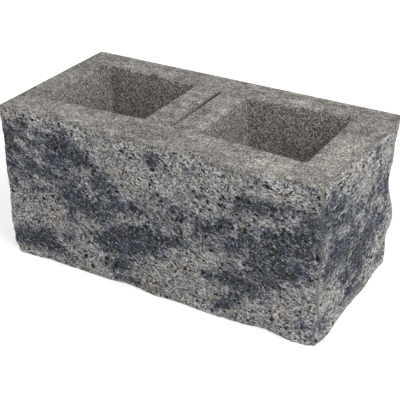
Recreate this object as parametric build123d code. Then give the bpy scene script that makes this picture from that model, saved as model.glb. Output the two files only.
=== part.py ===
"""Split-face hollow concrete block, metric modular size, with two cores and a breaking kerf.

The block is moulded with a strip of waste along its front and its right-hand end. When the strips are
split off, the front and that end are left as rough stone faces that stand a few millimetres proud of
the moulded size. The back, the left end, the two beds and the cores stay as the mould left them.

Frame: X runs along the length, towards the split end. Y runs from the split front to the moulded back.
Z is up. The origin is on the lower bed, at the middle of the moulded length and depth, so the kerf lies
over x = 0. All sizes are in millimetres.
"""

from build123d import *
import math
import os

# Moulded body, without what the split faces stand proud.
length = 390.0
depth = 190.0
height = 190.0

# Walls round the cores, measured at the upper bed.
end_web = 34.0
centre_web = 68.0
face_shell = 33.5
shell_flare = 7.7

# Cores: the pull of the mould on each side over the full height, and the corner radius.
core_draft = 2.5
core_corner = 5.0

# Breaking kerf in the centre web: a slot with one upright side, and a sloping shoulder along its other
# side. Its setback is from the moulded back to its wide, deep end, and it runs out towards the front.
kerf_setback = 42.0
kerf_length = 110.0
kerf_side = 2.6
kerf_slot = 5.4
kerf_floor = 5.0
kerf_depth = 14.0
shoulder_width = 2.8
shoulder_depth = 3.0
kerf_runout = 0.4

# Rounded moulded edges.
outer_arris = 2.0
core_arris = 2.0

# Split faces: how far they stand proud of the moulded size, and the strip that is split off.
front_proud = 6.0
end_proud = 5.0
waste = 24.0

# Spacing of the points that carry a split face, and how far its sheet runs past the uncut body.
split_pitch = 20.0
sheet_margin = 6.0

# Swells and hollows of the split front. Each is a share of the length from the left, a share of the
# height from below, a half width, a half height, and how far it swells out of the face.
front_swells = [
    (0.02, 0.96, 30.0, 26.0, 2.0),
    (0.20, 0.93, 44.0, 26.0, -3.4),
    (0.40, 0.93, 32.0, 26.0, 5.2),
    (0.56, 0.95, 22.0, 22.0, 4.2),
    (0.55, 0.62, 36.0, 30.0, -1.8),
    (0.30, 0.55, 52.0, 30.0, 2.4),
    (0.12, 0.38, 40.0, 34.0, -1.6),
    (0.81, 0.93, 44.0, 28.0, 7.0),
    (0.74, 0.46, 48.0, 30.0, 2.6),
    (0.90, 0.62, 30.0, 30.0, -2.0),
    (0.46, 0.24, 50.0, 26.0, 2.2),
    (0.64, 0.06, 44.0, 24.0, -2.2),
    (0.28, 0.04, 46.0, 22.0, -2.0),
    (0.43, 0.03, 26.0, 20.0, -2.8),
    (0.86, 0.03, 24.0, 20.0, -3.4),
    (1.02, 0.06, 26.0, 30.0, -4.6),
]

# Swells and hollows of the split end, as above, with the share of the depth counted from the front.
end_swells = [
    (0.80, 0.97, 34.0, 34.0, 7.0),
    (0.12, 0.92, 40.0, 34.0, -4.0),
    (0.98, 0.64, 30.0, 26.0, -3.0),
    (0.96, 0.33, 28.0, 24.0, 4.2),
    (0.50, 0.92, 34.0, 30.0, 3.4),
    (0.48, 0.56, 34.0, 34.0, 2.4),
    (0.30, 0.34, 30.0, 30.0, -2.6),
    (0.68, 0.14, 40.0, 24.0, 2.6),
    (0.18, 0.10, 26.0, 24.0, 2.0),
    (0.02, 0.04, 24.0, 26.0, -3.4),
]

# Fractures that run across both split faces, as waves: a wavelength, the way it runs in degrees above the
# level, and its height.
fractures = [
    (45.0, 40.0, 0.50),
    (54.0, 73.0, 0.45),
    (47.0, 71.0, 0.40),
    (52.0, 127.0, 0.35),
    (56.0, 67.0, 0.25),
]


def core_outline(level, inset):
    """A core's outline on the left half of the block: a trapezoid that narrows towards the centre web."""
    outer_x = -length / 2 + end_web + inset
    inner_x = -centre_web / 2 - inset
    outer_y = depth / 2 - face_shell - inset
    inner_y = outer_y - shell_flare
    corners = [(outer_x, -outer_y), (inner_x, -inner_y), (inner_x, inner_y), (outer_x, outer_y)]
    with BuildSketch(Plane.XY.offset(level)) as outline:
        with BuildLine():
            Polyline(*corners, close=True)
        make_face()
        fillet(outline.vertices(), core_corner)
    return outline.sketch


def core_plug():
    """The space of one core, wider at the upper bed than at the lower one."""
    return loft([core_outline(0, core_draft), core_outline(height, 0)], ruled=True)


def kerf_section(y, share):
    """The kerf's section at one y, as a share of its full size, carried up to clear the upper bed."""
    slot_x = kerf_side - kerf_slot * share
    floor_x = kerf_side - kerf_floor * share
    lip_x = slot_x - shoulder_width * share
    high = height + kerf_depth
    section = Polyline(
        (kerf_side, y, high),
        (kerf_side, y, height - kerf_depth * share),
        (floor_x, y, height - kerf_depth * share),
        (slot_x, y, height - shoulder_depth * share),
        (lip_x, y, height),
        (lip_x, y, high),
        close=True,
    )
    return make_face(section)


def kerf_wedge():
    """The groove that marks where the block breaks into two halves."""
    back_y = depth / 2 - kerf_setback
    return loft([kerf_section(back_y - kerf_length, kerf_runout), kerf_section(back_y, 1)], ruled=True)


def swell_height(across, up, run, rise, swells):
    """How far the split face swells at one point, from all its swells and hollows."""
    total = 0.0
    for share_across, share_up, half_width, half_height, size in swells:
        offset_across = (across - share_across * run) / half_width
        offset_up = (up - share_up * rise) / half_height
        total += size * math.exp(-(offset_across**2) - offset_up**2)
    return total


def fracture_height(across, up):
    """How far the fractures stand out at one point. Each wave starts a radian further on than the last."""
    total = 0.0
    for number, (wavelength, angle, size) in enumerate(fractures):
        turn = math.radians(angle)
        along = across * math.cos(turn) + up * math.sin(turn)
        total += size * math.sin(math.tau * along / wavelength + number)
    return total


def split_waste(run, proud, swells, place):
    """The strip that is split off: everything in front of a rough sheet across one face.

    The sheet is laid out over run and height, and place turns a point of it into block coordinates.
    """
    overrun = waste + sheet_margin
    columns = math.ceil((run + 2 * overrun) / split_pitch)
    rows = math.ceil((height + 2 * overrun) / split_pitch)
    points = []
    for column in range(columns + 1):
        across = -overrun + (run + 2 * overrun) * column / columns
        line = []
        for row in range(rows + 1):
            up = -overrun + (height + 2 * overrun) * row / rows
            out = proud + swell_height(across, up, run, height, swells) + fracture_height(across, up)
            line.append(place(across, out, up))
        points.append(line)
    sheet = Face.make_surface_from_array_of_points(points)
    outwards = place(0, 1, 0) - place(0, 0, 0)
    return Solid.extrude(sheet, outwards * 2 * waste)


def front_place(across, out, up):
    """A point of the split front, from its distance along the length."""
    return Vector(across - length / 2, -depth / 2 - out, up)


def end_place(across, out, up):
    """A point of the split end, from its distance from the front."""
    return Vector(length / 2 + out, across - depth / 2, up)


def moulded_body():
    """The body as it leaves the mould, with the strips that are split off later."""
    return Pos(-length / 2, depth / 2, 0) * Box(
        length + waste, depth + waste, height, align=(Align.MIN, Align.MAX, Align.MIN)
    )


def moulded_edges(body):
    """The edges that the mould leaves whole: round the back, the left end and the corner between them."""
    on_left = [edge for edge in body.edges() if abs(edge.center().X + length / 2) < 1]
    on_back = [edge for edge in body.edges() if abs(edge.center().Y - depth / 2) < 1]
    kept = {edge for edge in on_left + on_back if not is_waste(edge)}
    return list(kept)


def is_waste(edge):
    """Whether an edge lies on a face that is split away."""
    middle = edge.center()
    return middle.X > length / 2 + waste - 1 or middle.Y < -depth / 2 - waste + 1


def core_mouths(body):
    """The edges of the cores' mouths on the upper bed. The lower ones stay sharp, as the pallet leaves them."""
    rims = []
    for edge in body.edges():
        middle = edge.center()
        on_bed = abs(middle.Z - height) < 1e-3
        inside = abs(middle.X) < length / 2 - 1 and abs(middle.Y) < depth / 2 - 1
        if on_bed and inside:
            rims.append(edge)
    return rims


def block():
    """The finished block, one solid."""
    body = moulded_body()
    body = fillet(moulded_edges(body), outer_arris)
    plug = core_plug()
    body -= plug
    body -= mirror(plug, about=Plane.YZ)
    body = fillet(core_mouths(body), core_arris)
    body -= kerf_wedge()
    body -= split_waste(length, front_proud, front_swells, front_place)
    body -= split_waste(depth, end_proud, end_swells, end_place)
    return body


os.makedirs("parts", exist_ok=True)
export_step(block(), "parts/block.step")
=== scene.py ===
"""The weathered finish of a split-face hollow concrete block, with its floor, lights and camera.

The block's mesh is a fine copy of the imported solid. Its split faces are broken up into fractures, lumps,
grains and pits, its edges crumble, and its moulded faces keep the open grain of pressed concrete.
Objects are in metres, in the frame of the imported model.
"""

import math

import bmesh
import bpy
import numpy as np
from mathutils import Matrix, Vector, noise
from mathutils.bvhtree import BVHTree


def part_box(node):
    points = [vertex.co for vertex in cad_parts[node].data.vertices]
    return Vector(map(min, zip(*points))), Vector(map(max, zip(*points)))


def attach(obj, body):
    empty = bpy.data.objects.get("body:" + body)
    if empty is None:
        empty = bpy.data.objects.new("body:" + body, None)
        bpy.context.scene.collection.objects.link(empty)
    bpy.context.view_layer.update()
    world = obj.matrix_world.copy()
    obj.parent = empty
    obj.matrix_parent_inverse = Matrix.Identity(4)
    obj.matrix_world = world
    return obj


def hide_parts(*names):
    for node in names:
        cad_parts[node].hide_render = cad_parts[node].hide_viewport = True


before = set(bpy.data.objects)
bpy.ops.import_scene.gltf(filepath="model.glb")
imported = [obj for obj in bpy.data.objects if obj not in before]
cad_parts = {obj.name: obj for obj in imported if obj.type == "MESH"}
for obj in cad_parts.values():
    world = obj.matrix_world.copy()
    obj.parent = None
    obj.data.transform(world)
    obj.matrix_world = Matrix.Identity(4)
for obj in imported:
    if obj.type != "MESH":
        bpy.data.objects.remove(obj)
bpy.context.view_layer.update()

bl_info = {
    "name": "Split-face Concrete Block",
    "version": (1, 0, 0),
    "blender": (4, 5, 0),
    "location": "3D View > Sidebar > Block",
    "description": "Builds the rough mesh, stained finish and stage of a hollow split-face concrete block",
    "category": "Object",
}

CAD_LOW, CAD_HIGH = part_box("block")
MM = 0.001
HEIGHT = CAD_HIGH.z
HALF_LENGTH = -CAD_LOW.x
HALF_DEPTH = CAD_HIGH.y

# How far in from each face its relief and its finish reach, and how much relief is left at an edge.
RELIEF_REACH = 9 * MM
PASTE_REACH = 9 * MM
BED_FADE = 5 * MM
EASE_REACH = 14 * MM
LEAST_RELIEF = 0.4

# Points nearer to each other than this are one point.
MERGE_REACH = 0.001 * MM

# The space that the kerf and its lips take.
KERF_HALF_WIDTH = 8 * MM
KERF_HALF_LENGTH = 62 * MM
KERF_DEPTH = 18 * MM

# A point lies on a split face where the solid faces that way by this share, and no further in than this.
SPLIT_FACING = 0.6
FRONT_SLACK = 1 * MM
END_SLACK = 2 * MM

# How far in from a moulded side still counts as its outside.
OUTER_SLACK = 3 * MM

# Noise that roughens the mesh: the size of its features, its octaves, and a shift that sets it apart.
FRACTURE_NOISE = {"size": 30 * MM, "shift": 3.1}
LUMP_NOISE = {"size": 8 * MM, "octaves": 3, "shift": 7.7}
GRIT_NOISE = {"size": 3 * MM, "octaves": 2, "shift": 1.3}
PORE_NOISE = {"size": 2.6 * MM, "octaves": 2, "shift": 5.2}
WEAR_NOISE = {"size": 16 * MM, "octaves": 2, "shift": 9.4}
CHIP_NOISE = {"size": 20 * MM, "octaves": 2, "shift": 4.4}

# The share of the fractures' height that lies below the face.
FRACTURE_LEVEL = 0.45

# How wear and chips come and go along the edges: a level, the gain of their noise, and their limits.
WEAR_PATCHES = (0.55, 0.9, 0.1, 1)
CHIP_PATCHES = (0.6, 1.2, 0, 2)

# Wear: how far off its neighbours' mean a point is at a sharp edge, in steps of the grid, the least share
# that is worn at all, and how far each round draws a point in.
SHARP_BEND = 0.06
LEAST_WEAR = 0.02
WEAR_STEP = 0.6

# Pits: their least and largest width in millimetres, how far they are drawn out, the share of that width that
# is dug, the rest being painted shade, and the width that the painted shade counts as one.
PIT_WIDTHS = (1.0, 2.8)
PIT_STRETCHES = (0.6, 1.5)
PIT_DIG = 0.5
PIT_FULL = 3 * MM

# The map of the mesh: how large each side is drawn, and the walls of the cores and the kerf. Then the
# narrowest and the widest map that is tried, against the root of its area, how many are, and the gap
# between its charts.
LEFT_END, FRONT, LOWER_BED, SPLIT_END, BACK, UPPER_BED = range(6)
SIDE_SCALES = {FRONT: 1.0, SPLIT_END: 1.0, UPPER_BED: 1.0, LEFT_END: 0.75, BACK: 0.75, LOWER_BED: 0.5}
HOLLOW_SCALE = 0.6
MAP_WIDTHS = (1.0, 1.5, 60)
MAP_GAP = 4 * MM

# Noise in the finish: the size of its features, its detail and its roughness.
SPECKLE = {"size": 2.6 * MM, "detail": 3, "rough": 0.75}
BLOTCHES = {"size": 11 * MM, "detail": 8, "rough": 0.7}
CLUMPS = {"size": 6 * MM, "detail": 4, "rough": 0.7}
CLOUDS = {"size": 34 * MM, "detail": 4, "rough": 0.6}
TINT = {"size": 15 * MM, "detail": 5, "rough": 0.65}
CAST = {"size": 5 * MM, "detail": 3, "rough": 0.6}
CROWD = {"size": 20 * MM, "detail": 2}
WOBBLE_SIZE = 2.6 * MM

# Grains of sand and stone, which are cells of one size.
FINE_GRAIN = 1.1 * MM
COARSE_GRAIN = 2.7 * MM

# How far the break drew the grain out, more for the fine grain and on the split end, and which way it ran.
STRETCH = 1.4
FINE_STRETCH = 1.7
END_STRETCH = 1.4
FRONT_RUN = (0, math.radians(28), 0)
END_RUN = (0, math.radians(-12), math.radians(90))

# How far each noise swings a part of the finish about its level, from end to end. A colour is twice as
# light where it swings up by one.
PASTE_MOTTLE = {"level": -0.05, "clumps": 1.4, "blotches": 4.8, "clouds": 1.9}
PASTE_GRAIN = {"level": 0.06, "fine": 3.4, "speckle": 0.3}
STONE_GRAIN = {"level": 0.12, "fine": 4.8, "coarse": 0.4, "speckle": 1.0, "clumps": 0.9, "clouds": 0.8}
STAIN_EDGE = {"level": 0.0, "blotches": 3.4, "fine": 0.5, "coarse": 0.7, "speckle": 1.6}
BUMP_HEIGHT = {"level": 0.5, "paste": 0.3, "stone": 0.4, "speckle": 0.9}
PIGMENT_SWING = 2.4
RAGGED_SWING = 1.2

# The shares by which the bright side of each grain is cut.
PASTE_CUT = 0.3
STONE_CUT = 0.45

# Rises in the finish: where each one begins and ends, and its values there where they aren't 0 and 1.
ROUGHNESS = (0.2, 0.8, 0.82, 0.97)
BED_MOTTLE = (0.0, 1.0, 0.07, 1.0)
BED_GRAIN = (0.0, 1.0, 1.25, 1.0)
RUST_SHARE = (0.47, 0.63, 0.0, 0.65)
STAIN_WANDER = (0.0, 0.3, 0.65, 1.0)
STAIN_SHARE = (0.44, 0.52, 0.0, 0.95)
HAZE_SHARE = (0.18, 0.55, 0.0, 0.62)
PALE_GRAINS = (0.8, 1.0, 1.0, 0.45)
PIGMENT_CHANGE = (0.40, 0.60)
PAINTED_GLINT_SPOT = (0.2, 0.45, 0.9, 0.0)
PASTE_EDGE = (HEIGHT - PASTE_REACH, HEIGHT, 1.0, 0.2)
SPLIT_EDGE = (0.25, 0.7)
BED_EDGE = (HEIGHT - BED_FADE, HEIGHT - MM)
SHOULDER_SHADE = (HEIGHT - 1.0 * MM, HEIGHT - 0.3 * MM, 0.3, 0.0)
SLOT_SHADE = (HEIGHT - 3.6 * MM, HEIGHT - 2.0 * MM, 0.85, 0.0)
SPECK_CROWD = (0.35, 0.65, 0.8, 1.3)
PIT_SHADE = (0.3, 0.7, 0.0, 0.8)
SPECK_EDGE = (0.0, 0.07)

# Mottle left on the moulded sides, the haze's lead over its stain, how light the kerf's dust and painted
# shade is against a speck, the least random number of a coarse grain that gets a painted glint, and its grey.
SIDE_MOTTLE = 0.5
HAZE_LEAD = 0.4
KERF_DUST_AND_SHADE_TINT = 1.6
PAINTED_GLINT_LEAST = 0.95
PAINTED_GLINT_GREY = 0.62

# The warm and the cool cast that the stone takes by turns.
WARM_CAST = (1.14, 1.0, 0.86, 1.0)
COOL_CAST = (0.86, 1.0, 1.14, 1.0)

# Specks: how far their outline wanders, and for each size of cell, the least random number that holds a
# speck and the largest radius, as a share of the cell.
WOBBLE_REACH = 3 * MM
SPECKS = ((2.6 * MM, 0.67, 0.46), (4.4 * MM, 0.67, 0.43), (9 * MM, 0.72, 0.25))

# The surface: how deep its bump is, how strongly it shades, and how much light it mirrors.
BUMP_DEPTH = 0.8 * MM
BUMP_STRENGTH = 0.9
MIRRORED = 0.25

# The floor's own grey, and the glow that makes it white to the camera.
FLOOR_GREY = 0.86
FLOOR_GLOW = 0.48

# The two inputs and the output that a Mix node uses for colours and for places.
MIX_SOCKETS = {"RGBA": (6, 7, 2), "VECTOR": (4, 5, 1)}

# The stains below are placed on a flat sheet about level with each split face. They reach the stone along the
# line of sight, so what stands out of the sheet by a millimetre is stained this far along and up from there.
FRONT_SHEET, FRONT_LEAN = 101 * MM, (0.58, 0.64)
END_SHEET, END_LEAN = 200 * MM, (-1.73, 1.11)

# Stains on the split front, in millimetres: middle along the length and up, half width, half height,
# slant in degrees, and strength, which is below zero where the stone stays clean.
FRONT_STAINS = [
    (-108, 171, 14, 8, 0, 0.6),
    (-120, 155, 24, 12, -12, 1.1),
    (-92, 150, 16, 9, 0, 0.9),
    (-122, 134, 24, 9, -8, 0.8),
    (-140, 119, 28, 5, -6, 0.5),
    (-76, 143, 14, 6, -10, 0.55),
    (-62, 131, 18, 6, -10, 0.5),
    (-84, 124, 20, 8, 0, 0.45),
    (-46, 112, 20, 7, -10, 0.5),
    (-103, 104, 14, 12, 0, 0.85),
    (-85, 92, 34, 12, 4, 0.75),
    (-50, 99, 26, 8, 0, 0.5),
    (-14, 107, 24, 9, -14, 0.5),
    (-98, 64, 16, 10, 0, 0.6),
    (-188, 152, 12, 16, 0, 0.7),
    (-186, 122, 10, 12, 0, 0.6),
    (-172, 136, 20, 6, -20, 0.4),
    (-164, 116, 22, 10, 0, 0.5),
    (-176, 101, 12, 8, 0, 0.4),
    (-122, 115, 10, 7, 0, 0.55),
    (-166, 172, 14, 8, 0, 0.35),
    (-160, 92, 14, 8, 0, 0.3),
    (-152, 33, 24, 12, 6, 1.05),
    (-172, 22, 24, 8, 0, 0.9),
    (-132, 22, 20, 8, -16, 0.9),
    (-65, 49, 12, 7, 0, 1.1),
    (-38, 62, 26, 13, 6, 0.95),
    (-14, 74, 30, 10, 6, 0.85),
    (22, 78, 28, 7, -4, 0.75),
    (-30, 48, 26, 8, 0, 0.85),
    (8, 60, 22, 7, 4, 0.8),
    (-5, 34, 12, 6, 0, 0.4),
    (-44, 27, 20, 7, 8, 0.8),
    (-36, 36, 12, 5, 0, 0.5),
    (-30, 10, 20, 5, 0, 0.5),
    (5, 170, 8, 9, 0, 0.85),
    (48, 168, 10, 6, 0, 0.35),
    (20, 92, 16, 7, 0, 0.5),
    (30, 118, 18, 9, 0, 0.45),
    (24, 104, 28, 7, 4, 0.35),
    (62, 110, 18, 14, 0, 0.5),
    (90, 120, 18, 8, 24, 0.35),
    (106, 140, 14, 9, 22, 0.4),
    (108, 156, 9, 12, 0, 0.25),
    (134, 152, 20, 6, 4, 1.05),
    (158, 156, 12, 5, -10, 0.6),
    (118, 112, 36, 12, 0, 0.45),
    (106, 96, 40, 12, -4, 0.6),
    (150, 119, 17, 7, -6, 1.05),
    (186, 111, 13, 9, 0, 0.75),
    (180, 126, 18, 8, 10, 1.15),
    (160, 96, 30, 11, 0, 0.85),
    (190, 150, 12, 12, 40, 0.9),
    (156, 78, 30, 8, 10, 0.8),
    (120, 82, 14, 7, 0, 0.4),
    (98, 56, 24, 11, 14, 0.95),
    (118, 48, 22, 8, 0, 0.75),
    (142, 62, 18, 7, 24, 0.5),
    (102, 30, 13, 8, 10, 0.75),
    (90, 18, 12, 5, 0, 0.6),
    (102, 9, 18, 4, 0, 0.3),
    (184, 24, 12, 8, -30, 0.6),
    (60, 84, 16, 7, 0, 0.35),
    (-48, 134, 14, 5, -30, 0.3),
    (14, 122, 26, 7, 0, 0.25),
    (-60, 82, 26, 7, 0, 0.25),
    (142, 142, 24, 7, 0, 0.45),
    (124, 180, 12, 5, 0, 0.4),
    (184, 182, 10, 7, 0, 0.6),
    (-158, 151, 13, 12, 0, 0.3),
    (-182, 62, 10, 10, 0, 0.3),
    (-100, 80, 10, 8, 0, 0.25),
    (-40, 20, 14, 6, 0, 0.35),
    (30, 40, 16, 10, 0, -0.3),
    (-140, 80, 10, 10, 0, -0.3),
    (20, 158, 12, 8, 0, -0.25),
    (140, 42, 14, 7, 0, 0.3),
    (-155, 68, 16, 12, 0, 0.25),
    (-142, 98, 14, 7, 0, 0.4),
    (58, 141, 12, 8, 0, 0.3),
    (-110, 40, 16, 8, 0, 0.3),
    (20, 100, 20, 7, 0, -0.2),
]

# Stains on the split end, as above, with the middle counted along the depth.
END_STAINS = [
    (-84, 162, 18, 12, -10, 1.0),
    (-60, 152, 16, 9, 0, 0.8),
    (-96, 142, 12, 20, 0, 0.75),
    (-66, 100, 24, 14, -6, 0.95),
    (-84, 84, 10, 12, 0, 0.6),
    (-40, 94, 28, 11, -6, 0.85),
    (-12, 92, 18, 8, 0, 0.5),
    (31, 168, 7, 10, 0, 0.75),
    (28, 116, 30, 7, -6, 0.35),
    (62, 116, 20, 8, -12, 0.5),
    (20, 104, 26, 7, 0, 0.3),
    (2, 60, 36, 13, 8, 1.05),
    (-35, 48, 12, 7, 0, 1.2),
    (22, 76, 24, 12, 12, 0.8),
    (48, 84, 20, 12, 20, 0.45),
    (70, 70, 22, 10, 0, 0.6),
    (19, 48, 16, 8, 0, 0.6),
    (-15, 27, 13, 9, 0, 0.95),
    (-96, 26, 12, 12, -30, 0.6),
    (-48, 132, 16, 6, 0, 0.55),
    (-30, 126, 30, 7, -10, 0.6),
    (0, 14, 16, 6, 0, 0.6),
    (-74, 128, 14, 9, 0, 0.6),
    (-36, 141, 16, 7, 0, 0.6),
    (-62, 80, 22, 7, 0, 0.5),
    (-30, 79, 14, 7, 0, 0.45),
    (-24, 110, 14, 8, 0, 0.5),
    (10, 131, 20, 5, 0, 0.3),
    (44, 138, 10, 8, 0, 0.3),
    (60, 76, 12, 6, 0, 0.3),
    (-80, 138, 12, 10, 0, 0.4),
    (80, 111, 8, 20, 0, 0.9),
    (-20, 178, 12, 7, 0, 0.35),
    (-18, 62, 12, 8, 0, 0.35),
    (10, 40, 16, 8, 0, 0.5),
    (-80, 22, 10, 8, 0, 0.5),
    (-40, 20, 12, 7, 0, 0.4),
    (68, 20, 14, 8, 0, 0.4),
    (-20, 158, 14, 7, 0, 0.3),
    (58, 138, 12, 7, 0, 0.3),
]

# Pale and dark patches on the upper bed: middle along the length and depth, half length, half depth,
# slant in degrees, and strength, which is below zero where the bed is darker.
BED_PATCHES = [
    (-178, 55, 12, 40, 0, -0.25),
    (-190, -66, 8, 8, 0, -0.6),
    (-150, -84, 40, 10, 0, 0.3),
    (-80, -76, 26, 16, 0, 0.35),
    (-18, -78, 34, 14, 0, -0.35),
    (-50, 78, 14, 18, 0, -0.4),
    (-110, 78, 40, 12, 0, 0.15),
    (-20, 35, 12, 26, 0, 0.25),
    (-20, -30, 14, 24, 0, -0.4),
    (27, 20, 6, 34, 0, 0.35),
    (14, -18, 10, 16, 0, -0.6),
    (20, -36, 6, 4, 0, 0.8),
    (12, -55, 14, 12, 0, -0.4),
    (90, 68, 36, 8, 0, 0.4),
    (170, 82, 34, 12, 0, -0.3),
    (80, -80, 24, 14, 0, 0.3),
    (130, -82, 30, 14, 0, 0.35),
    (176, -70, 22, 34, 0, 0.5),
    (182, -20, 14, 20, 0, 0.5),
    (182, 50, 14, 30, 0, -0.15),
]

# Corners that have broken away, in millimetres: where each is, how far the break reaches, and its depth.
NICKS = [
    ((-195, -101, 0), 16, 5),
]


class BlockShape(bpy.types.PropertyGroup):
    """Sizes of the block's relief."""

    grid: bpy.props.FloatProperty(
        name="Grid",
        description="Spacing of the mesh before it is thinned",
        default=1.25 * MM,
        unit="LENGTH",
    )
    triangles: bpy.props.IntProperty(
        name="Triangles", description="Most triangles in the finished mesh", default=190000
    )
    fracture: bpy.props.FloatProperty(
        name="Fractures", description="Height of the broad fractures", default=2.0 * MM, unit="LENGTH"
    )
    lump: bpy.props.FloatProperty(
        name="Lumps", description="Height of the stones that stand out", default=1.3 * MM, unit="LENGTH"
    )
    grit: bpy.props.FloatProperty(
        name="Grit", description="Height of the grains on a split face", default=0.6 * MM, unit="LENGTH"
    )
    pore: bpy.props.FloatProperty(
        name="Pores",
        description="Height of the open grain on a moulded face",
        default=0.16 * MM,
        unit="LENGTH",
    )
    pits: bpy.props.IntProperty(name="Pits", description="Number of pits on the split faces", default=200)
    chips: bpy.props.FloatProperty(
        name="Chips", description="Depth lost where the split faces meet", default=1.6 * MM, unit="LENGTH"
    )
    crumble: bpy.props.IntProperty(name="Crumble", description="Rounds of wear along the edges", default=12)
    arris_wear: bpy.props.FloatProperty(
        name="Arris wear", description="Wear of the moulded edges, as a share of the split ones", default=0.12
    )
    seed: bpy.props.IntProperty(name="Seed", description="Seed of the pits", default=11)


class BlockFinish(bpy.types.PropertyGroup):
    """Colours of the concrete."""

    paste: bpy.props.FloatVectorProperty(
        name="Paste", description="Moulded concrete", subtype="COLOR", default=(0.274, 0.260, 0.238)
    )
    stone: bpy.props.FloatVectorProperty(
        name="Stone", description="Split concrete", subtype="COLOR", default=(0.344, 0.339, 0.333)
    )
    stain: bpy.props.FloatVectorProperty(
        name="Stain",
        description="Blue-grey pigment in the split faces",
        subtype="COLOR",
        default=(0.051, 0.060, 0.085),
    )
    charcoal: bpy.props.FloatVectorProperty(
        name="Charcoal",
        description="The darkest pigment, in patches",
        subtype="COLOR",
        default=(0.048, 0.048, 0.050),
    )
    haze: bpy.props.FloatVectorProperty(
        name="Haze",
        description="Thin pigment round the stains",
        subtype="COLOR",
        default=(0.138, 0.161, 0.208),
    )
    # Dark grains, and the painted shade in the pits, in one colour.
    speck_and_pit_shade: bpy.props.FloatVectorProperty(
        name="Specks",
        description="Dark grains and the depth of pits",
        subtype="COLOR",
        default=(0.016, 0.018, 0.024),
    )
    rust: bpy.props.FloatVectorProperty(
        name="Rust", description="Faint brown in the stone", subtype="COLOR", default=(0.312, 0.275, 0.230)
    )
    patches: bpy.props.FloatProperty(
        name="Patches", description="Strength of the upper bed's patches", default=0.8
    )


class BlockStage(bpy.types.PropertyGroup):
    """Floor, light and camera."""

    floor_size: bpy.props.FloatProperty(
        name="Floor", description="Side of the floor", default=12.0, unit="LENGTH"
    )
    sky: bpy.props.FloatProperty(name="Sky", description="Strength of the even light", default=0.55)
    key: bpy.props.FloatProperty(name="Key", description="Power of the overhead light", default=26.0)
    azimuth: bpy.props.FloatProperty(
        name="Azimuth",
        description="Camera's turn round the block",
        default=math.radians(30.0),
        unit="ROTATION",
    )
    elevation: bpy.props.FloatProperty(
        name="Elevation",
        description="Camera's angle above the floor",
        default=math.radians(28.98),
        unit="ROTATION",
    )
    distance: bpy.props.FloatProperty(
        name="Distance", description="Camera's distance from its target", default=1.0758, unit="LENGTH"
    )
    target: bpy.props.FloatVectorProperty(
        name="Target",
        description="Point that the camera looks at",
        default=(0.0226, -0.0313, 0.0945),
        unit="LENGTH",
    )
    lens: bpy.props.FloatProperty(name="Lens", description="Focal length on a 36 mm sensor", default=86.7)


def smooth_step(value, low, high):
    """0 below low, 1 above high, and a smooth rise between."""
    share = np.clip((value - low) / (high - low), 0, 1)
    return share * share * (3 - 2 * share)


def packed_copy():
    """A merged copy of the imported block's mesh, whose triangles come loose."""
    shell = bmesh.new()
    shell.from_mesh(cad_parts["block"].data)
    bmesh.ops.remove_doubles(shell, verts=shell.verts, dist=MERGE_REACH)
    return shell


def applied(piece):
    """The piece's mesh with its modifiers applied, which then leave it."""
    seen = piece.evaluated_get(bpy.context.evaluated_depsgraph_get())
    mesh = bpy.data.meshes.new_from_object(seen)
    piece.modifiers.clear()
    piece.data = mesh
    return mesh


def places(mesh):
    """The mesh's points as rows of x, y, z."""
    found = np.empty(len(mesh.vertices) * 3, np.float32)
    mesh.vertices.foreach_get("co", found)
    return found.reshape(-1, 3).astype(float)


def put_places(mesh, points):
    """Moves the mesh's points."""
    mesh.vertices.foreach_set("co", points.astype(np.float32).ravel())
    mesh.update()


def edge_ends(mesh):
    """The two point numbers of every edge."""
    found = np.empty(len(mesh.edges) * 2, np.int32)
    mesh.edges.foreach_get("vertices", found)
    return found.reshape(-1, 2)


def neighbour_mean(values, ends):
    """For every point, the mean of the values at the points it shares an edge with."""
    count = len(values)
    shared = np.maximum(np.bincount(ends.ravel(), minlength=count), 1)
    columns = []
    for column in values.reshape(count, -1).T:
        there = np.bincount(ends[:, 0], column[ends[:, 1]], count)
        back = np.bincount(ends[:, 1], column[ends[:, 0]], count)
        columns.append((there + back) / shared)
    return np.stack(columns, 1).reshape(values.shape)


def spread(values, ends, rounds):
    """The values evened out over that many rounds."""
    for _ in range(rounds):
        values = 0.5 * values + 0.5 * neighbour_mean(values, ends)
    return values


def noise_at(points, size, octaves, shift, fade=0.7, step=2.1):
    """Fractal noise of that feature size at every point, from about -1 to 1."""
    moved = points / size + shift
    return np.array([noise.fractal(Vector(p), fade, step, octaves) for p in moved])


def ridges_at(points, size, shift, octaves=3, fade=0.9, step=2.1, offset=1.0, gain=2.0, top=2.2):
    """Ridged noise, 0 in the hollows and about 1 on the ridges."""
    moved = points / size + shift
    found = [noise.ridged_multi_fractal(Vector(p), fade, step, octaves, offset, gain) for p in moved]
    return np.clip(np.array(found) / top, 0, 1)


def patchy(points, recipe, level, gain, least, most):
    """A share at every point that comes and goes with noise, between its limits."""
    return np.clip(level + gain * noise_at(points, **recipe), least, most)


def solid_normals(tree, points):
    """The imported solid's normal at the place on it nearest to each point."""
    return np.array([tree.find_nearest(Vector(p))[1] for p in points])


def split_shares(points, normals):
    """How far each point lies on the split front and on the split end, 0 or 1."""
    front = (normals[:, 1] < -SPLIT_FACING) & (points[:, 1] < -HALF_DEPTH + FRONT_SLACK)
    end = (normals[:, 0] > SPLIT_FACING) & (points[:, 0] > HALF_LENGTH - END_SLACK)
    return front.astype(float), end.astype(float)


def in_kerf(points):
    """Whether each point lies in the kerf or beside its lips."""
    across = np.abs(points[:, 0]) < KERF_HALF_WIDTH
    along = np.abs(points[:, 1]) < KERF_HALF_LENGTH
    return across & along & (points[:, 2] > HEIGHT - KERF_DEPTH)


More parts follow.
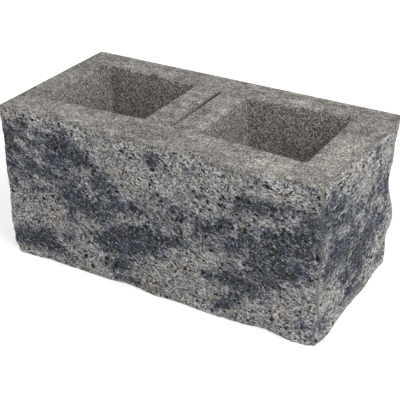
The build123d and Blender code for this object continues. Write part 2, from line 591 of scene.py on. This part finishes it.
def pit_depths(points, across, face, count, rng):
    """Depth of the scattered pits at every point of one split face."""
    depth = np.zeros(len(points))
    low, high = points[face].min(0), points[face].max(0)
    rows = np.flatnonzero(face)
    flat = points[rows][:, (across, 2)]
    for _ in range(count):
        middle = rng.uniform(low[[across, 2]], high[[across, 2]])
        width = MM * rng.uniform(*PIT_WIDTHS)
        stretch = rng.uniform(*PIT_STRETCHES)
        off = (flat - middle) / (width * np.array([stretch, 1 / stretch]))
        near = np.exp(-np.square(off).sum(1))
        depth[rows] = np.maximum(depth[rows], near * width)
    return depth


def split_relief(points, settings):
    """How far a split face stands out at every point."""
    fracture = ridges_at(points, **FRACTURE_NOISE) - FRACTURE_LEVEL
    lump = noise_at(points, **LUMP_NOISE)
    grit = noise_at(points, **GRIT_NOISE)
    return settings.fracture * fracture + settings.lump * lump + settings.grit * grit


def nicked(points):
    """The points with the corners that have broken away drawn in."""
    for corner, reach, depth in NICKS:
        corner, inwards = np.array(corner) * MM, -np.sign(corner) + (np.array(corner) == 0)
        near = 1 - np.clip(np.linalg.norm(points - corner, axis=1) / (reach * MM), 0, 1)
        points = points + inwards * (depth * MM * near * near)[:, None]
    return points


def eased(points):
    """How much of the relief is left at every point: less towards the beds and the moulded corners."""
    level = np.minimum(points[:, 2], HEIGHT - points[:, 2])
    inwards = np.minimum(points[:, 0] + HALF_LENGTH, HALF_DEPTH - points[:, 1])
    return LEAST_RELIEF + (1 - LEAST_RELIEF) * smooth_step(np.minimum(level, inwards), 0, EASE_REACH)


def edge_wear(points, ends, front, end, settings):
    """How much each point wears: in full along the split edges and slightly along the moulded ones."""
    bend = np.linalg.norm(neighbour_mean(points, ends) - points, axis=1)
    bend = spread(bend, ends, rounds=3) / (SHARP_BEND * settings.grid)
    moulded_edge = np.clip(bend, 0, 1) * settings.arris_wear
    soft_front = spread(front, ends, rounds=8)
    soft_end = spread(end, ends, rounds=8)
    split = np.maximum(soft_front, soft_end)
    split_edge = np.maximum(4 * split * (1 - split), 4 * soft_front * soft_end)
    share = np.maximum(moulded_edge, split_edge)
    share[in_kerf(points)] = 0
    rows = np.flatnonzero(share > LEAST_WEAR)
    patches = np.zeros(len(points))
    patches[rows] = patchy(points[rows], WEAR_NOISE, *WEAR_PATCHES)
    return np.clip(share, 0, 1) * patches


def worn_edges(points, ends, front, end, settings):
    """The points after wear, which draws those along the edges towards their neighbours."""
    share = edge_wear(points, ends, front, end, settings)[:, None]
    for _ in range(settings.crumble):
        points = points + WEAR_STEP * share * (neighbour_mean(points, ends) - points)
    return points


def roughened(points, ends, normals, settings):
    """The points with the relief of both split faces, the worn edges and the moulded grain."""
    rng = np.random.default_rng(settings.seed)
    front, end = split_shares(points, normals)
    near_front = smooth_step(-points[:, 1], HALF_DEPTH - RELIEF_REACH, HALF_DEPTH)
    near_end = smooth_step(points[:, 0], HALF_LENGTH - RELIEF_REACH, HALF_LENGTH)
    rows = np.flatnonzero(np.maximum(near_front, near_end) > 0)
    relief = np.zeros(len(points))
    relief[rows] = split_relief(points[rows], settings) * eased(points[rows])

    length_share = HALF_LENGTH / (HALF_LENGTH + HALF_DEPTH)
    front_pits = pit_depths(points, 0, front > 0, round(settings.pits * length_share), rng)
    end_pits = pit_depths(points, 1, end > 0, round(settings.pits * (1 - length_share)), rng)
    pits = np.maximum(front_pits, end_pits)

    points = worn_edges(points, ends, front, end, settings)
    chips = np.zeros(len(points))
    rows = np.flatnonzero(near_front * near_end > 0)
    chips[rows] = patchy(points[rows], CHIP_NOISE, *CHIP_PATCHES)
    lost = PIT_DIG * pits + settings.chips * chips * near_front * near_end
    points[:, 1] -= near_front * (relief - lost)
    points[:, 0] += near_end * (relief - lost)
    points = nicked(points)

    pore = np.zeros(len(points))
    rows = np.flatnonzero(1 - np.maximum(front, end))
    pore[rows] = noise_at(points[rows], **PORE_NOISE) * settings.pore
    points += normals * pore[:, None]
    points[:, 2] = np.clip(points[:, 2], 0, HEIGHT + settings.pore)
    return points, pits


def patch_field(across, up, patches):
    """Sum of one face's patches at every point, with the middle of each near its strength."""
    total = np.zeros(len(across))
    for middle, level, half_width, half_height, slant, strength in patches:
        turn = math.radians(slant)
        x, z = across - middle * MM, up - level * MM
        along = (x * math.cos(turn) + z * math.sin(turn)) / (half_width * MM)
        over = (z * math.cos(turn) - x * math.sin(turn)) / (half_height * MM)
        total += strength * np.exp(-(along**2) - over**2)
    return total


def leaning_field(across, up, out, lean, patches):
    """Sum of one face's patches, which reach each point at a slant from the sheet that they are placed on."""
    return patch_field(across - lean[0] * out, up - lean[1] * out, patches)


def put_attribute(mesh, name, values):
    """Stores a number at every point, for the finish to read."""
    layer = mesh.attributes.new(name, "FLOAT", "POINT")
    layer.data.foreach_set("value", values.astype(np.float32))


def mark_finish(mesh, tree):
    """Stores where the split faces, their stains and the bed's patches are."""
    points = places(mesh)
    x, y, z = points.T
    ends = edge_ends(mesh)
    front, end = split_shares(points, solid_normals(tree, points))
    split = np.maximum(front, end)
    front_stain = leaning_field(x, z, -y - FRONT_SHEET, FRONT_LEAN, FRONT_STAINS)
    end_stain = leaning_field(y, z, x - END_SHEET, END_LEAN, END_STAINS)
    stain = np.maximum(front_stain * front, end_stain * end)
    on_bed = (1 - split) * smooth_step(z, HEIGHT - BED_FADE, HEIGHT)
    put_attribute(mesh, "split", spread(split, ends, rounds=2))
    put_attribute(mesh, "end", spread(end, ends, rounds=1))
    put_attribute(mesh, "stain", spread(stain, ends, rounds=1))
    put_attribute(mesh, "patch", patch_field(x, y, BED_PATCHES) * on_bed)


def chart_numbers(points, normals):
    """Which flat chart each place belongs to: its side of the block, plus six for each hollow it is in."""
    axis = np.abs(normals).argmax(1)
    positive = np.take_along_axis(normals, axis[:, None], 1)[:, 0] > 0
    inside_length = np.abs(points[:, 0]) < HALF_LENGTH - RELIEF_REACH
    inside_depth = np.abs(points[:, 1]) < HALF_DEPTH - RELIEF_REACH
    wall = inside_length & inside_depth & (axis < 2)
    hollow = 1 + (points[:, 0] > -KERF_HALF_WIDTH) + (points[:, 0] > KERF_HALF_WIDTH)
    return axis + 3 * positive + 6 * np.where(wall, hollow, 0)


def shelved(sizes, width):
    """Lower left corner of each chart, laid out on shelves of that width, and the height they take."""
    corners, x, y, shelf = {}, MAP_GAP, MAP_GAP, 0.0
    for number in sorted(sizes, key=lambda name: -sizes[name][1]):
        wide, high = sizes[number]
        if x + wide + MAP_GAP > width:
            x, y, shelf = MAP_GAP, y + shelf + MAP_GAP, 0.0
        corners[number] = np.array((x, y))
        x += wide + MAP_GAP
        shelf = max(shelf, high)
    return corners, y + shelf + MAP_GAP


def lay_out_map(mesh, tree):
    """Gives the mesh a map on which every side lies flat in a chart of its own."""
    points = places(mesh)
    corner_point = np.empty(len(mesh.loops), np.int32)
    mesh.loops.foreach_get("vertex_index", corner_point)
    centres = points[corner_point.reshape(-1, 3)].mean(1)
    face_chart = chart_numbers(centres, solid_normals(tree, centres))
    corner_chart = np.repeat(face_chart, 3)
    flat = np.zeros((len(corner_point), 2))
    sizes = {}
    for number in np.unique(face_chart):
        rows = corner_chart == number
        kept = [axis for axis in range(3) if axis != number % 3]
        drawn = points[corner_point[rows]][:, kept] * SIDE_SCALES.get(number, HOLLOW_SCALE)
        flat[rows] = drawn - drawn.min(0)
        sizes[number] = np.ptp(drawn, axis=0)
    side = math.sqrt(sum(wide * high for wide, high in sizes.values()))
    widths = side * np.linspace(*MAP_WIDTHS)
    width = min(widths, key=lambda tried: max(tried, shelved(sizes, tried)[1]))
    corners, height = shelved(sizes, width)
    for number, corner in corners.items():
        flat[corner_chart == number] += corner
    layer = mesh.uv_layers.new(name="OFBake")
    layer.uv.foreach_set("vector", (flat / max(width, height)).astype(np.float32).ravel())


def make_block(settings):
    """The block's rough mesh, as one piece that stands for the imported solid."""
    shell = packed_copy()
    tree = BVHTree.FromBMesh(shell)
    mesh = bpy.data.meshes.new("concrete_block")
    shell.to_mesh(mesh)
    shell.free()
    piece = bpy.data.objects.new("concrete_block", mesh)
    bpy.context.scene.collection.objects.link(piece)

    remesh = piece.modifiers.new("Even grid", "REMESH")
    remesh.mode = "VOXEL"
    remesh.voxel_size = settings.grid
    mesh = applied(piece)
    points = places(mesh)
    points, pits = roughened(points, edge_ends(mesh), solid_normals(tree, points), settings)
    put_places(mesh, points)
    put_attribute(mesh, "pit", pits / PIT_FULL)

    thin = piece.modifiers.new("Thin out", "DECIMATE")
    thin.use_collapse_triangulate = True
    thin.ratio = min(1.0, settings.triangles / (2 * len(mesh.polygons)))
    mesh = applied(piece)
    points = places(mesh)
    points[:, 2] = np.maximum(points[:, 2], 0)
    put_places(mesh, points)
    mark_finish(mesh, tree)
    lay_out_map(mesh, tree)
    mesh.shade_smooth()
    return piece


def report_mesh(piece):
    """Prints how many triangles a piece has."""
    piece.data.calc_loop_triangles()
    print(piece.name, "triangles", len(piece.data.loop_triangles))


class Nodes:
    """The nodes of one material or world, which starts with none, added as a finish's list of steps."""

    def __init__(self, owner):
        owner.use_nodes = True
        self.tree = owner.node_tree
        self.tree.nodes.clear()

    def add(self, kind, inputs=None, **settings):
        """A new node. Each input is another node's output, which is linked, or a plain value."""
        made = self.tree.nodes.new(kind)
        for name, value in settings.items():
            setattr(made, name, value)
        for name, value in (inputs or {}).items():
            if isinstance(value, bpy.types.NodeSocket):
                self.tree.links.new(value, made.inputs[name])
            else:
                made.inputs[name].default_value = value
        return made

    def math(self, operation, a, b=0.0):
        """The result of one sum."""
        return self.add("ShaderNodeMath", {0: a, 1: b}, operation=operation).outputs[0]

    def plus(self, a, b):
        """Two numbers added."""
        return self.math("ADD", a, b)

    def times(self, a, b):
        """Two numbers multiplied."""
        return self.math("MULTIPLY", a, b)

    def larger(self, a, b):
        """The larger of two numbers."""
        return self.math("MAXIMUM", a, b)

    def doubled(self, swing):
        """1 at no swing, twice as much for each one up, and half as much for each one down."""
        return self.math("POWER", 2.0, swing)

    def rise(self, value, low, high, out_low=0.0, out_high=1.0):
        """A smooth rise from low to high."""
        made = self.add(
            "ShaderNodeMapRange",
            {"Value": value, "From Min": low, "From Max": high, "To Min": out_low, "To Max": out_high},
            interpolation_type="SMOOTHSTEP",
        )
        return made.outputs[0]

    def mix(self, share, a, b, blend="MIX", data="RGBA"):
        """Two colours, or two places, mixed by a share."""
        first, second, result = MIX_SOCKETS[data]
        inputs = {"Factor": share, first: a, second: b}
        return self.add("ShaderNodeMix", inputs, data_type=data, blend_type=blend).outputs[result]

    def noise(self, place, size, detail=2.0, rough=0.5):
        """Soft noise of that feature size, from 0 to 1."""
        inputs = {"Vector": place, "Scale": 1 / size, "Detail": detail, "Roughness": rough}
        return self.add("ShaderNodeTexNoise", inputs).outputs["Fac"]

    def cells(self, place, size):
        """Cells of that size, such as grains: the node gives a distance and a colour for each."""
        return self.add("ShaderNodeTexVoronoi", {"Vector": place, "Scale": 1 / size})

    def random(self, cells):
        """The random number of each cell, from 0 to 1."""
        return self.add("ShaderNodeSeparateColor", {"Color": cells.outputs["Color"]}).outputs[0]

    def swing(self, value, gain):
        """A number from 0 to 1 turned into a swing about zero."""
        inputs = {0: value, 1: gain, 2: -gain / 2}
        return self.add("ShaderNodeMath", inputs, operation="MULTIPLY_ADD").outputs[0]

    def total(self, noises, level, **gains):
        """A level with the swings of the named noises, each with its own gain, added to it."""
        found = level
        for name, gain in gains.items():
            found = self.plus(found, self.swing(noises[name], gain))
        return found

    def tinted(self, colour, value):
        """A colour, from the settings or another node, made lighter or darker by a number."""
        return self.add("ShaderNodeVectorMath", {0: colour, "Scale": value}, operation="SCALE").outputs[0]

    def attribute(self, name):
        """A number stored on the mesh."""
        return self.add("ShaderNodeAttribute", attribute_name=name).outputs["Fac"]

    def seen(self):
        """1 for what the camera sees, straight on, mirrored or through glass, and 0 for other light."""
        path = self.add("ShaderNodeLightPath").outputs
        mirrored = self.larger(path["Is Camera Ray"], path["Is Glossy Ray"])
        return self.larger(mirrored, path["Is Transmission Ray"])


def grey(value):
    """A neutral colour."""
    return (value, value, value, 1.0)


def opaque(colour):
    """A colour from the settings, in the four numbers that a socket takes."""
    return (*colour, 1.0)


def concrete_finish(settings):
    """Moulded paste and stained split stone, from what the mesh stores and from noise in real sizes."""
    material = bpy.data.materials.new("concrete")
    nodes = Nodes(material)
    place = nodes.add("ShaderNodeTexCoord").outputs["Object"]
    drawn = drawn_place(nodes, place, STRETCH)
    noises = {
        "speckle": nodes.noise(drawn, **SPECKLE),
        "blotches": nodes.noise(drawn, **BLOTCHES),
        "clumps": nodes.noise(drawn, **CLUMPS),
        "clouds": nodes.noise(place, **CLOUDS),
    }
    open_face = split_mask(nodes, place, noises["blotches"])
    paste, paste_grain = paste_colour(nodes, place, noises, settings)
    stone, stone_grain, speck_and_pit_shade = stone_colour(nodes, place, drawn, noises, settings)

    height = nodes.total(dict(noises, paste=paste_grain, stone=stone_grain), **BUMP_HEIGHT)
    height = nodes.math("SUBTRACT", height, nodes.times(speck_and_pit_shade, open_face))
    bump = {"Height": height, "Distance": BUMP_DEPTH, "Strength": BUMP_STRENGTH}
    surface = {
        "Base Color": nodes.mix(open_face, paste, stone),
        "Roughness": nodes.rise(noises["speckle"], *ROUGHNESS),
        "Normal": nodes.add("ShaderNodeBump", bump).outputs[0],
        "Specular IOR Level": MIRRORED,
    }
    shader = nodes.add("ShaderNodeBsdfPrincipled", surface)
    nodes.add("ShaderNodeOutputMaterial", {"Surface": shader.outputs[0]})
    return material


def brightness(nodes, grain, cut):
    """How light the grain's swing makes a colour, with its bright side cut by a share."""
    bright = nodes.times(nodes.larger(grain, 0.0), cut)
    return nodes.doubled(nodes.math("SUBTRACT", grain, bright))


def paste_colour(nodes, place, noises, settings):
    """The moulded faces: fine open grain, mottled on the upper bed, and dark with dust and painted shade in
    the kerf.
    """
    bed = bed_mask(nodes, place)
    fine = nodes.random(nodes.cells(place, FINE_GRAIN))
    sides = nodes.times(outer_mask(nodes, place), SIDE_MOTTLE)
    mottle = nodes.total(noises, **PASTE_MOTTLE)
    mottle = nodes.times(mottle, nodes.larger(nodes.rise(bed, *BED_MOTTLE), sides))
    grain = nodes.total(dict(noises, fine=fine), **PASTE_GRAIN)
    grain = nodes.plus(nodes.times(grain, nodes.rise(bed, *BED_GRAIN)), mottle)
    grain = nodes.plus(grain, nodes.times(nodes.attribute("patch"), settings.patches))
    paste = nodes.tinted(settings.paste, brightness(nodes, grain, PASTE_CUT))
    # Dust and painted shade in the kerf: the speck colour made lighter.
    kerf_dust_and_shade = nodes.tinted(settings.speck_and_pit_shade, KERF_DUST_AND_SHADE_TINT)
    return nodes.mix(kerf_dust_and_shade_mask(nodes, place), paste, kerf_dust_and_shade), fine


def stone_colour(nodes, place, drawn, noises, settings):
    """The split faces: streaky grain, warm and cool by turns, with stains, dark specks over painted pit
    shade, and painted glints.
    """
    fine = nodes.random(nodes.cells(drawn_place(nodes, place, FINE_STRETCH), FINE_GRAIN))
    coarse_cells = nodes.cells(drawn, COARSE_GRAIN)
    coarse = nodes.random(coarse_cells)
    noises = dict(noises, fine=fine, coarse=coarse)
    tint = nodes.noise(place, **TINT)
    cast = nodes.noise(place, **CAST)

    grain = brightness(nodes, nodes.total(noises, **STONE_GRAIN), STONE_CUT)
    stone = nodes.tinted(settings.stone, grain)
    stone = nodes.mix(nodes.rise(tint, *RUST_SHARE), stone, nodes.tinted(settings.rust, grain))
    stone = nodes.mix(1.0, stone, nodes.mix(cast, WARM_CAST, COOL_CAST), blend="MULTIPLY")

    laid = nodes.attribute("stain")
    edge = nodes.times(nodes.total(noises, **STAIN_EDGE), nodes.rise(laid, *STAIN_WANDER))
    reach = nodes.plus(edge, laid)
    haze = nodes.rise(nodes.plus(reach, nodes.times(laid, HAZE_LEAD)), *HAZE_SHARE)
    stone = nodes.mix(haze, stone, nodes.tinted(settings.haze, grain))
    stained = nodes.times(nodes.rise(reach, *STAIN_SHARE), nodes.rise(fine, *PALE_GRAINS))
    blue_share = nodes.rise(tint, *PIGMENT_CHANGE)
    pigment = nodes.mix(blue_share, opaque(settings.charcoal), opaque(settings.stain))
    depth = nodes.times(grain, nodes.doubled(nodes.swing(cast, PIGMENT_SWING)))
    stone = nodes.mix(stained, stone, nodes.tinted(pigment, depth))

    # Dark grains, and painted shade in the pits.
    speck_and_pit_shade = speck_and_pit_shade_mask(nodes, drawn)
    stone = nodes.mix(speck_and_pit_shade, stone, opaque(settings.speck_and_pit_shade))
    # Painted glints: a few coarse grains get a pale grey dot where a grain would catch the light.
    painted_glint = nodes.math("GREATER_THAN", coarse, PAINTED_GLINT_LEAST)
    painted_glint = nodes.times(painted_glint, nodes.rise(coarse_cells.outputs["Distance"], *PAINTED_GLINT_SPOT))
    return nodes.mix(painted_glint, stone, grey(PAINTED_GLINT_GREY)), fine, speck_and_pit_shade


def stretched(nodes, place, turn, stretch):
    """The place with its grain drawn out along one way."""
    inputs = {"Vector": place, "Rotation": turn, "Scale": (stretch, 1.0, 1.0)}
    return nodes.add("ShaderNodeMapping", inputs, vector_type="TEXTURE").outputs[0]


def drawn_place(nodes, place, stretch):
    """The place with its grain drawn out along each split face, the way the break ran through the stone."""
    front = stretched(nodes, place, FRONT_RUN, stretch)
    end = stretched(nodes, place, END_RUN, END_STRETCH * stretch)
    return nodes.mix(nodes.attribute("end"), front, end, data="VECTOR")


def split_mask(nodes, place, blotches):
    """How far the surface is split stone: the paste fades raggedly below the upper bed."""
    level = nodes.add("ShaderNodeSeparateXYZ", {"Vector": place}).outputs["Z"]
    below = nodes.plus(nodes.rise(level, *PASTE_EDGE), nodes.swing(blotches, RAGGED_SWING))
    return nodes.rise(nodes.times(nodes.attribute("split"), below), *SPLIT_EDGE)


def bed_mask(nodes, place):
    """How far the surface is the upper bed, which the weather mottles."""
    level = nodes.add("ShaderNodeSeparateXYZ", {"Vector": place}).outputs["Z"]
    return nodes.rise(level, *BED_EDGE)


def outer_mask(nodes, place):
    """1 on the sides that face outwards and 0 in the cores."""
    parts = nodes.add("ShaderNodeSeparateXYZ", {"Vector": place}).outputs
    along = nodes.math("GREATER_THAN", nodes.math("ABSOLUTE", parts["X"]), HALF_LENGTH - OUTER_SLACK)
    across = nodes.math("GREATER_THAN", nodes.math("ABSOLUTE", parts["Y"]), HALF_DEPTH - OUTER_SLACK)
    return nodes.larger(along, across)


def kerf_dust_and_shade_mask(nodes, place):
    """How dark the kerf is painted: dust and painted shade deep in its slot, and about a third as much on its
    shoulder.
    """
    parts = nodes.add("ShaderNodeSeparateXYZ", {"Vector": place}).outputs
    across = nodes.math("LESS_THAN", nodes.math("ABSOLUTE", parts["X"]), KERF_HALF_WIDTH)
    along = nodes.math("LESS_THAN", nodes.math("ABSOLUTE", parts["Y"]), KERF_HALF_LENGTH)
    shoulder = nodes.rise(parts["Z"], *SHOULDER_SHADE)
    slot = nodes.rise(parts["Z"], *SLOT_SHADE)
    return nodes.times(nodes.times(across, along), nodes.larger(shoulder, slot))


def speck_and_pit_shade_mask(nodes, place):
    """Dark grains and pits of ragged outline, many small ones and a few larger ones; the shade in the pits is
    painted.
    """
    noise_node = nodes.add("ShaderNodeTexNoise", {"Vector": place, "Scale": 1 / WOBBLE_SIZE})
    wobble = {0: noise_node.outputs["Color"], 1: (WOBBLE_REACH,) * 3}
    wobble = nodes.add("ShaderNodeVectorMath", wobble, operation="MULTIPLY").outputs[0]
    bent = nodes.add("ShaderNodeVectorMath", {0: place, 1: wobble}, operation="ADD").outputs[0]
    crowd = nodes.rise(nodes.noise(place, **CROWD), *SPECK_CROWD)
    found = nodes.rise(nodes.attribute("pit"), *PIT_SHADE)
    for size, least, most in SPECKS:
        spots = nodes.cells(bent, size)
        radius = nodes.times(nodes.rise(nodes.random(spots), least, 1.0, 0.0, most), crowd)
        inside = nodes.math("SUBTRACT", radius, spots.outputs["Distance"])
        found = nodes.larger(found, nodes.rise(inside, *SPECK_EDGE))
    return found


class BLOCK_OT_build(bpy.types.Operator):
    """Build the rough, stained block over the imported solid"""

    bl_idname = "concrete_block.build"
    bl_label = "Build Block"

    def execute(self, context):
        piece = make_block(context.scene.block_shape)
        piece.data.materials.clear()
        piece.data.materials.append(concrete_finish(context.scene.block_finish))
        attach(piece, "root")
        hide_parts("block")
        report_mesh(piece)
        return {"FINISHED"}


def floor_finish():
    """A pale matt floor that looks white to the camera, apart from the block's shadow."""
    material = bpy.data.materials.new("floor")
    nodes = Nodes(material)
    matt = nodes.add("ShaderNodeBsdfDiffuse", {"Color": grey(FLOOR_GREY)}).outputs[0]
    strength = nodes.times(nodes.seen(), FLOOR_GLOW)
    glow = nodes.add("ShaderNodeEmission", {"Color": grey(1.0), "Strength": strength}).outputs[0]
    both = nodes.add("ShaderNodeAddShader", {0: matt, 1: glow})
    nodes.add("ShaderNodeOutputMaterial", {"Surface": both.outputs[0]})
    return material


def make_floor(settings):
    """The floor, level with the lower bed."""
    sheet = bmesh.new()
    bmesh.ops.create_grid(sheet, x_segments=1, y_segments=1, size=settings.floor_size / 2)
    mesh = bpy.data.meshes.new("floor")
    sheet.to_mesh(mesh)
    sheet.free()
    floor = bpy.data.objects.new("floor", mesh)
    bpy.context.scene.collection.objects.link(floor)
    mesh.materials.append(floor_finish())


def make_sky(settings):
    """Even light from all round, white where the camera sees it."""
    world = bpy.data.worlds.new("studio")
    bpy.context.scene.world = world
    nodes = Nodes(world)
    lit = nodes.add("ShaderNodeBackground", {"Color": grey(1.0), "Strength": settings.sky}).outputs[0]
    shown = nodes.add("ShaderNodeBackground", {"Color": grey(1.0), "Strength": 1.0}).outputs[0]
    both = nodes.add("ShaderNodeMixShader", {0: nodes.seen(), 1: lit, 2: shown})
    nodes.add("ShaderNodeOutputWorld", {"Surface": both.outputs[0]})


def make_lamp(name, place, aim, side, power):
    """A square soft light at a place, turned towards a point."""
    light = bpy.data.lights.new(name, "AREA")
    light.size = side
    light.energy = power
    lamp = bpy.data.objects.new(name, light)
    bpy.context.scene.collection.objects.link(lamp)
    lamp.location = place
    lamp.rotation_euler = (Vector(aim) - Vector(place)).to_track_quat("-Z", "Y").to_euler()


def make_camera(settings):
    """The camera at the photograph's angle."""
    level = math.cos(settings.elevation)
    rise = math.sin(settings.elevation)
    back = Vector((math.sin(settings.azimuth) * level, -math.cos(settings.azimuth) * level, rise))
    camera = bpy.data.objects.new("camera", bpy.data.cameras.new("camera"))
    bpy.context.scene.collection.objects.link(camera)
    camera.data.lens = settings.lens
    camera.location = Vector(settings.target) + back * settings.distance
    camera.rotation_euler = (-back).to_track_quat("-Z", "Y").to_euler()
    bpy.context.scene.camera = camera


class BLOCK_OT_stage(bpy.types.Operator):
    """Set up the floor, lights and camera"""

    bl_idname = "concrete_block.stage"
    bl_label = "Build Stage"

    def execute(self, context):
        settings = context.scene.block_stage
        make_camera(settings)
        make_floor(settings)
        make_sky(settings)
        make_lamp("key", place=(1.5, -0.5, 1.7), aim=(0, 0, 0.1), side=1.3, power=settings.key)
        context.scene.view_settings.view_transform = "Standard"
        return {"FINISHED"}


class BLOCK_PT_panel(bpy.types.Panel):
    """The block's settings and steps"""

    bl_label = "Concrete Block"
    bl_idname = "BLOCK_PT_panel"
    bl_space_type = "VIEW_3D"
    bl_region_type = "UI"
    bl_category = "Block"

    def draw(self, context):
        for operator, group in (
            (BLOCK_OT_stage, context.scene.block_stage),
            (BLOCK_OT_build, context.scene.block_shape),
            (None, context.scene.block_finish),
        ):
            box = self.layout.box()
            for name in type(group).__annotations__:
                box.prop(group, name)
            if operator:
                box.operator(operator.bl_idname)


CLASSES = (BlockShape, BlockFinish, BlockStage, BLOCK_OT_stage, BLOCK_OT_build, BLOCK_PT_panel)
GROUPS = {"block_shape": BlockShape, "block_finish": BlockFinish, "block_stage": BlockStage}


def register():
    """Adds the classes and their settings to Blender."""
    for kind in CLASSES:
        bpy.utils.register_class(kind)
    for name, group in GROUPS.items():
        setattr(bpy.types.Scene, name, bpy.props.PointerProperty(type=group))


def unregister():
    """Takes the settings and classes out again."""
    for name in GROUPS:
        delattr(bpy.types.Scene, name)
    for kind in reversed(CLASSES):
        bpy.utils.unregister_class(kind)


def main():
    """Builds the stage and the block."""
    register()
    bpy.ops.concrete_block.stage()
    bpy.ops.concrete_block.build()


if __name__ == "__main__":
    main()
